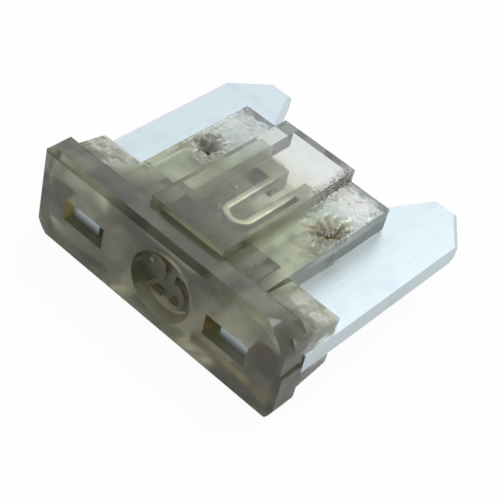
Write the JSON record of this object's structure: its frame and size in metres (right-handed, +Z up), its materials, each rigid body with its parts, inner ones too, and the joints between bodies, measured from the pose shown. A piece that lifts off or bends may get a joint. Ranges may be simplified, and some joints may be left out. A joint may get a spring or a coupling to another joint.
{
  "type": "automotive blade fuse",
  "caption": "Low-profile blade fuse lying on its broad side: smoke-grey clear housing with a flanged head, two flat zinc blades and a looped fuse link inside.",
  "frame": {"origin": "middle of the outline in X and Y, on the surface that the fuse lies on", "axes": "+X across the two blades, +Y from the head's face to the blade tips, +Z up through the thickness"},
  "size_m": [0.011, 0.0108, 0.0038],
  "materials": {
    "housing_plastic": "moulded smoke-grey polycarbonate, clear enough to show the link",
    "zinc": "pale blue-grey rolled zinc, faint lengthwise rolling lines"
  },
  "bodies": {
    "root": {"housing": "housing_plastic", "fuse_element": "zinc"}
  },
  "joints": []
}
